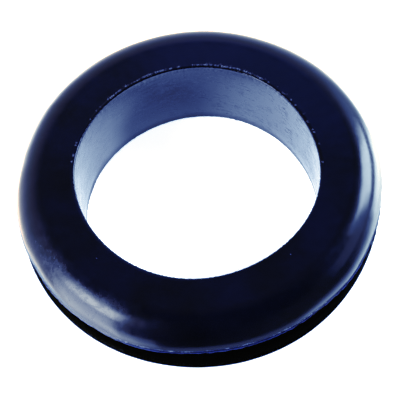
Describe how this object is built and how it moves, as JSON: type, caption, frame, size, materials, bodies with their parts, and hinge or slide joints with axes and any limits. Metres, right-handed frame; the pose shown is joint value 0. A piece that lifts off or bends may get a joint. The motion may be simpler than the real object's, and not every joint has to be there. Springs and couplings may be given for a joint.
{
  "type": "rubber grommet",
  "caption": "Round one-piece rubber grommet with two round-shouldered flanges, a panel groove between them and a plain bore for a cable or pipe.",
  "frame": {"origin": "on the bore's axis, in the plane of the lower face that it lies on", "axes": "+Z along the bore's axis, up through the upper flange; X and Y are free, because the ring is round"},
  "size_m": [0.0384, 0.0384, 0.0095],
  "materials": {
    "rubber": "blue-black moulded rubber, semi-gloss on the rims and the bore, satin on the flat faces"
  },
  "bodies": {
    "root": {"grommet": "rubber"}
  },
  "joints": []
}
